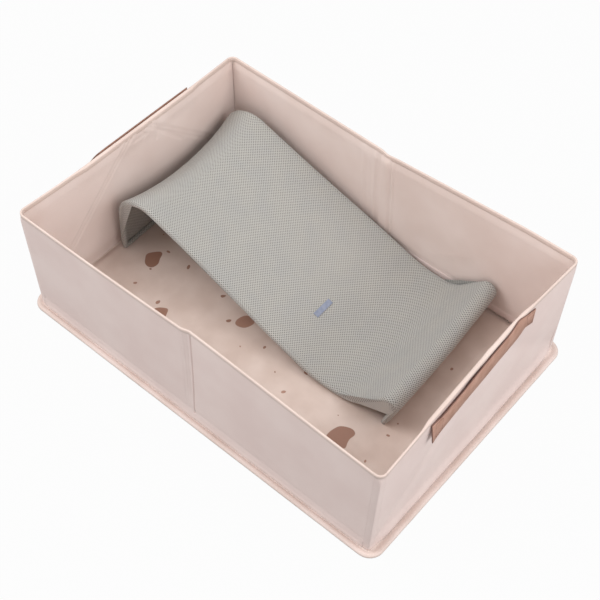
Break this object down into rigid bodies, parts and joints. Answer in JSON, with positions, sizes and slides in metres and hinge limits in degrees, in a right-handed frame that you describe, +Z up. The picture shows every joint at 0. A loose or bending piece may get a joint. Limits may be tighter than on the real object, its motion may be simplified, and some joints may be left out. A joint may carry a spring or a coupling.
{
  "type": "foldable baby bathtub",
  "caption": "Soft-sided rectangular baby bathtub that folds flat, with boards in its long walls, two carrying handles and a loose mesh bath seat on a wire frame.",
  "frame": {"origin": "middle of the flat bottom, on the surface that the tub stands on", "axes": "+Z up, X along the tub with the seat's head end at -X, Y across it with the front long wall at -Y"},
  "size_m": [0.794, 0.551, 0.25],
  "materials": {
    "coated_fabric": "pale pink coated cloth, satin",
    "liner": "pale pink coated cloth, smooth and wipeable",
    "binding": "pale pink woven binding tape",
    "board": "plain extruded board",
    "foam": "thin closed foam interlining",
    "strap_leather": "brown artificial leather with stitched ends",
    "seat_mesh": "grey knitted spacer mesh",
    "seat_wire": "plain stainless wire",
    "seat_tab": "blue grey woven tape, blank"
  },
  "bodies": {
    "tub_base": {"base_hem": "binding", "bottom_sheet": "coated_fabric", "base_board_left": "board", "base_board_right": "board", "base_fold_web": "coated_fabric", "floor_sheet": "liner", "front_fold_strip": "coated_fabric", "back_fold_strip": "coated_fabric", "right_end_liner": "liner", "right_end_foam": "foam", "right_end_skin": "coated_fabric", "right_end_rim": "binding", "right_handle_patch_front": "coated_fabric", "right_handle_patch_back": "coated_fabric", "right_handle": "strap_leather", "left_end_liner": "liner", "left_end_foam": "foam", "left_end_skin": "coated_fabric", "left_end_rim": "binding", "left_handle_patch_front": "coated_fabric", "left_handle_patch_back": "coated_fabric", "left_handle": "strap_leather", "corner_seam_front_right": "binding", "corner_seam_back_right": "binding", "corner_seam_front_left": "binding", "corner_seam_back_left": "binding"},
    "front_wall": {"front_wall_skin": "coated_fabric", "front_wall_liner": "liner", "front_wall_board_left": "board", "front_wall_board_right": "board", "front_wall_crease_web": "coated_fabric", "front_wall_rim": "binding"},
    "back_wall": {"back_wall_skin": "coated_fabric", "back_wall_liner": "liner", "back_wall_board_left": "board", "back_wall_board_right": "board", "back_wall_crease_web": "coated_fabric", "back_wall_rim": "binding"},
    "bath_seat": {"seat_wire_front": "seat_wire", "seat_wire_back": "seat_wire", "seat_sleeve_front": "seat_mesh", "seat_sleeve_back": "seat_mesh", "seat_head_bar": "seat_wire", "seat_foot_bar": "seat_wire", "seat_sling": "seat_mesh", "seat_tab": "seat_tab"}
  },
  "joints": [
    {"name": "front_wall_fold", "type": "hinge", "parent": "tub_base", "child": "front_wall", "pos_m": [0, -0.2575, 0.025], "axis": [-1, 0, 0], "range_deg": [0, 90], "deforming": ["right_end_liner", "right_end_foam", "right_end_skin", "right_end_rim", "right_handle_patch_front", "right_handle_patch_back", "right_handle", "left_end_liner", "left_end_foam", "left_end_skin", "left_end_rim", "left_handle_patch_front", "left_handle_patch_back", "left_handle", "corner_seam_front_right", "corner_seam_back_right", "corner_seam_front_left", "corner_seam_back_left"]},
    {"name": "back_wall_fold", "type": "hinge", "parent": "tub_base", "child": "back_wall", "pos_m": [0, 0.2575, 0.025], "axis": [1, 0, 0], "range_deg": [0, 90]},
    {"name": "seat_lift_out", "type": "slide", "parent": "tub_base", "child": "bath_seat", "axis": [0, -0.36, 0.933], "range_m": [0, 1]}
  ],
  "couplings": [
    {"joint": "back_wall_fold", "follows": "front_wall_fold", "ratio": 1},
    {"joint": "seat_lift_out", "follows": "front_wall_fold", "m_per_rad": 0.6366}
  ]
}
